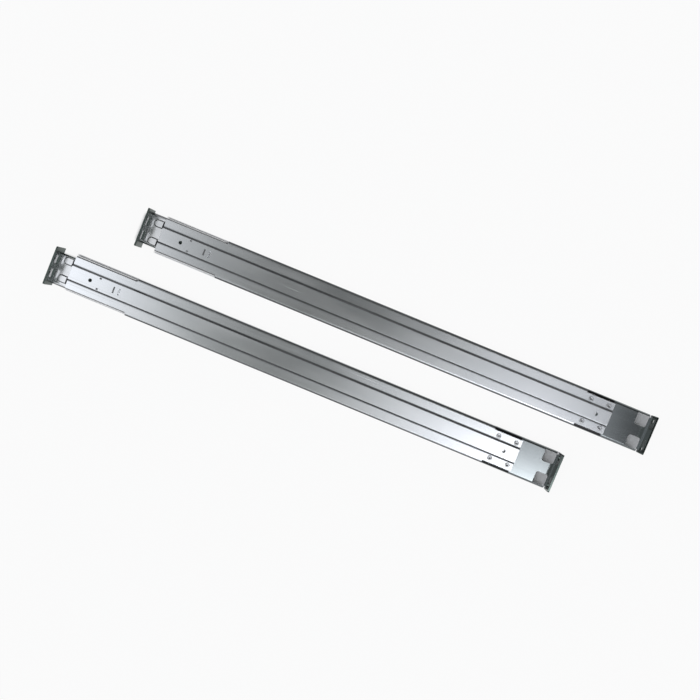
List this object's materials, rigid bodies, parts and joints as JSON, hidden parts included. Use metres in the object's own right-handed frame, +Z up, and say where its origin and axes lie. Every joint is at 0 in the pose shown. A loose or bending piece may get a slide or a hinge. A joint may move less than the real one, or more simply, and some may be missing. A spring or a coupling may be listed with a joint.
{
  "type": "sliding server rail pair",
  "caption": "Left and right telescoping ball-slide rails for a rack server, with riveted front brackets, depth-adjusting rear brackets and upright mounting ears.",
  "frame": {"origin": "middle of the pair, on the surface that the rails lie on", "axes": "+X along the rails towards the front ears, +Y across from the left rail to the right rail, +Z up from the chassis faces to the post side"},
  "size_m": [0.66, 0.118, 0.0263],
  "materials": {
    "zinc_steel": "bright zinc plating, fine rolling grain",
    "dark_zinc": "smooth grey zinc plating",
    "black_plated_steel": "black plating with a green tint",
    "black_rubber": "matte",
    "cage_steel": "satin spring steel",
    "ball_steel": "polished"
  },
  "bodies": {
    "outer_rails": {"left_outer_rail": "zinc_steel", "left_front_bracket": "dark_zinc", "left_front_rivets": "zinc_steel", "left_strip_guides": "zinc_steel", "left_outer_bumper": "black_rubber", "right_outer_rail": "zinc_steel", "right_front_bracket": "dark_zinc", "right_front_rivets": "zinc_steel", "right_strip_guides": "zinc_steel", "right_outer_bumper": "black_rubber"},
    "left_rear_assembly": {"left_rear_bracket": "zinc_steel", "left_rear_ear": "black_plated_steel", "left_depth_strip": "zinc_steel"},
    "left_middle_member": {"left_middle_rail": "zinc_steel", "left_middle_bumper": "black_rubber"},
    "left_outer_ball_row": {"left_outer_cage": "cage_steel", "left_outer_balls": "ball_steel"},
    "left_inner_member": {"left_inner_rail": "zinc_steel", "left_lever_pivot": "zinc_steel", "left_lever_spring": "ball_steel"},
    "left_inner_ball_row": {"left_inner_cage": "cage_steel", "left_inner_balls": "ball_steel"},
    "left_lever": {"left_release_lever": "dark_zinc"},
    "right_rear_assembly": {"right_rear_bracket": "zinc_steel", "right_rear_ear": "black_plated_steel", "right_depth_strip": "zinc_steel"},
    "right_middle_member": {"right_middle_rail": "zinc_steel", "right_middle_bumper": "black_rubber"},
    "right_outer_ball_row": {"right_outer_cage": "cage_steel", "right_outer_balls": "ball_steel"},
    "right_inner_member": {"right_inner_rail": "zinc_steel", "right_lever_pivot": "zinc_steel", "right_lever_spring": "ball_steel"},
    "right_inner_ball_row": {"right_inner_cage": "cage_steel", "right_inner_balls": "ball_steel"},
    "right_lever": {"right_release_lever": "dark_zinc"}
  },
  "joints": [
    {"name": "left_middle_slide", "type": "slide", "parent": "outer_rails", "child": "left_middle_member", "axis": [1, 0, 0], "range_m": [0, 0.26]},
    {"name": "left_outer_ball_slide", "type": "slide", "parent": "outer_rails", "child": "left_outer_ball_row", "axis": [1, 0, 0], "range_m": [0, 0.13]},
    {"name": "left_inner_slide", "type": "slide", "parent": "left_middle_member", "child": "left_inner_member", "axis": [1, 0, 0], "range_m": [0, 0.3]},
    {"name": "left_inner_ball_slide", "type": "slide", "parent": "left_middle_member", "child": "left_inner_ball_row", "axis": [1, 0, 0], "range_m": [0, 0.15]},
    {"name": "left_depth_slide", "type": "slide", "parent": "outer_rails", "child": "left_rear_assembly", "axis": [-1, 0, 0], "range_m": [0, 0.18]},
    {"name": "left_lever_release", "type": "hinge", "parent": "left_inner_member", "child": "left_lever", "pos_m": [-0.033, -0.0375, 0.0028], "axis": [0, 0, -1], "range_deg": [0, 6], "stiffness_Nm_per_rad": 0.02, "springref_deg": -11.46},
    {"name": "right_middle_slide", "type": "slide", "parent": "outer_rails", "child": "right_middle_member", "axis": [1, 0, 0], "range_m": [0, 0.26]},
    {"name": "right_outer_ball_slide", "type": "slide", "parent": "outer_rails", "child": "right_outer_ball_row", "axis": [1, 0, 0], "range_m": [0, 0.13]},
    {"name": "right_inner_slide", "type": "slide", "parent": "right_middle_member", "child": "right_inner_member", "axis": [1, 0, 0], "range_m": [0, 0.3]},
    {"name": "right_inner_ball_slide", "type": "slide", "parent": "right_middle_member", "child": "right_inner_ball_row", "axis": [1, 0, 0], "range_m": [0, 0.15]},
    {"name": "right_depth_slide", "type": "slide", "parent": "outer_rails", "child": "right_rear_assembly", "axis": [-1, 0, 0], "range_m": [0, 0.18]},
    {"name": "right_lever_release", "type": "hinge", "parent": "right_inner_member", "child": "right_lever", "pos_m": [0.043, 0.0375, 0.0028], "axis": [0, 0, 1], "range_deg": [0, 6], "stiffness_Nm_per_rad": 0.02, "springref_deg": -11.46}
  ],
  "couplings": [
    {"joint": "left_outer_ball_slide", "follows": "left_middle_slide", "ratio": 0.5},
    {"joint": "left_inner_ball_slide", "follows": "left_inner_slide", "ratio": 0.5},
    {"joint": "right_outer_ball_slide", "follows": "right_middle_slide", "ratio": 0.5},
    {"joint": "right_inner_ball_slide", "follows": "right_inner_slide", "ratio": 0.5}
  ]
}
